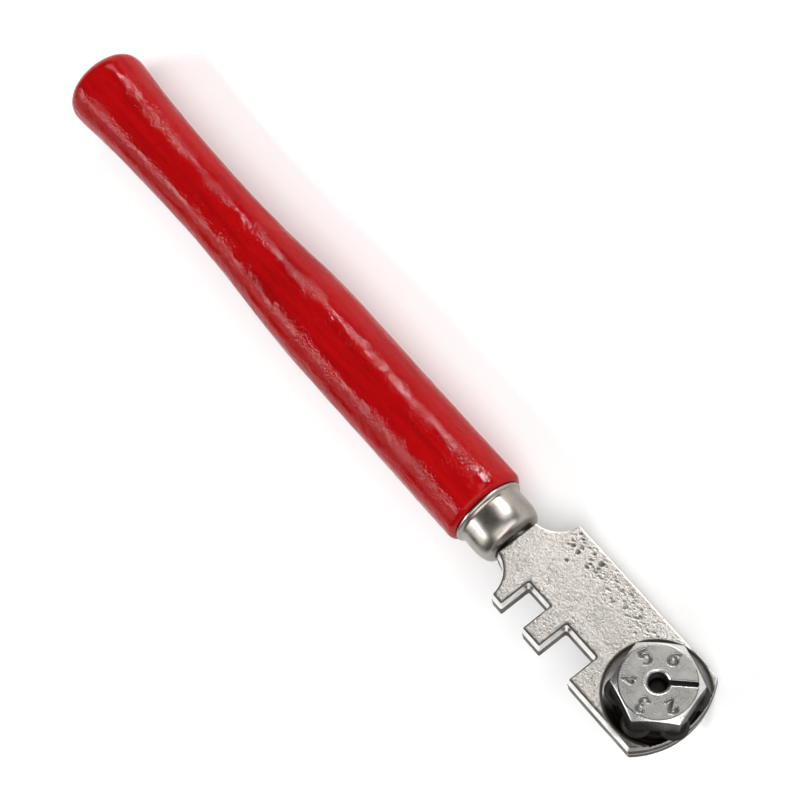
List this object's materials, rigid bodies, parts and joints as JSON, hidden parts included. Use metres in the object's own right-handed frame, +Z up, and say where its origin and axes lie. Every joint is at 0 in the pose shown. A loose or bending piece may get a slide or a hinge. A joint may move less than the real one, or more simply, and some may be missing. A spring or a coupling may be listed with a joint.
{
  "type": "turret glass cutter",
  "caption": "Hand glass cutter: red turned wooden handle, metal ferrule, flat notched head and a hexagonal turret of small cutting wheels that is turned to bring a fresh wheel to the tip.",
  "frame": {"origin": "under the middle of the whole tool, on the surface that the handle lies on", "axes": "+X along the tool from butt to cutting tip, +Z up from the table. The tool lies as it would on a table, on its handle and the plate's straight back edge, which is towards +Y, so the plate's face on the turret side leans 36.1 degrees from +Z towards +Y"},
  "size_m": [0.1286, 0.0158, 0.0147],
  "materials": {
    "lacquered_wood": "glossy red lacquer",
    "polished_nickel": "polished nickel plate",
    "cast_nickel": "nickel plate over a grainy casting",
    "satin_nickel": "satin nickel plate",
    "plain_steel": "bright turned steel",
    "spring_steel": "plain spring steel",
    "wheel_steel": "ground hard steel",
    "axle_steel": "drawn steel pin"
  },
  "bodies": {
    "tool": {"handle": "lacquered_wood", "ferrule": "polished_nickel", "head": "cast_nickel"},
    "turret": {"turret": "satin_nickel", "wheel_axle_1": "axle_steel", "wheel_axle_2": "axle_steel", "wheel_axle_3": "axle_steel", "wheel_axle_4": "axle_steel", "wheel_axle_5": "axle_steel", "wheel_axle_6": "axle_steel"},
    "wheel_1": {"wheel_1": "wheel_steel"},
    "wheel_2": {"wheel_2": "wheel_steel"},
    "wheel_3": {"wheel_3": "wheel_steel"},
    "wheel_4": {"wheel_4": "wheel_steel"},
    "wheel_5": {"wheel_5": "wheel_steel"},
    "wheel_6": {"wheel_6": "wheel_steel"},
    "washer": {"spring_washer": "spring_steel"},
    "screw": {"pivot_screw": "plain_steel"}
  },
  "joints": [
    {"name": "turret_index", "type": "hinge", "parent": "tool", "child": "turret", "pos_m": [0.05757, -0.00055, 0.00614], "axis": [0, 0.5892, 0.808], "continuous": true},
    {"name": "wheel_1_spin", "type": "hinge", "parent": "turret", "child": "wheel_1", "pos_m": [0.06092, 0.00347, 0.00581], "axis": [0, 0.5892, 0.808], "continuous": true},
    {"name": "wheel_2_spin", "type": "hinge", "parent": "turret", "child": "wheel_2", "pos_m": [0.06223, -0.00026, 0.00853], "axis": [0, 0.5892, 0.808], "continuous": true},
    {"name": "wheel_3_spin", "type": "hinge", "parent": "turret", "child": "wheel_3", "pos_m": [0.05888, -0.00304, 0.01056], "axis": [0, 0.5892, 0.808], "continuous": true},
    {"name": "wheel_4_spin", "type": "hinge", "parent": "turret", "child": "wheel_4", "pos_m": [0.05423, -0.00209, 0.00986], "axis": [0, 0.5892, 0.808], "continuous": true},
    {"name": "wheel_5_spin", "type": "hinge", "parent": "turret", "child": "wheel_5", "pos_m": [0.05292, 0.00164, 0.00714], "axis": [0, 0.5892, 0.808], "continuous": true},
    {"name": "wheel_6_spin", "type": "hinge", "parent": "turret", "child": "wheel_6", "pos_m": [0.05627, 0.00442, 0.00511], "axis": [0, 0.5892, 0.808], "continuous": true},
    {"name": "screw_back_off", "type": "slide", "parent": "tool", "child": "washer", "axis": [0, 0.5892, 0.808], "range_m": [-0.0015, 0]},
    {"name": "screw_turn", "type": "hinge", "parent": "washer", "child": "screw", "pos_m": [0.05757, -0.00055, 0.00614], "axis": [0, 0.5892, 0.808], "range_deg": [-1080, 0]}
  ],
  "couplings": [
    {"joint": "screw_turn", "follows": "screw_back_off", "rad_per_m": 12566}
  ]
}
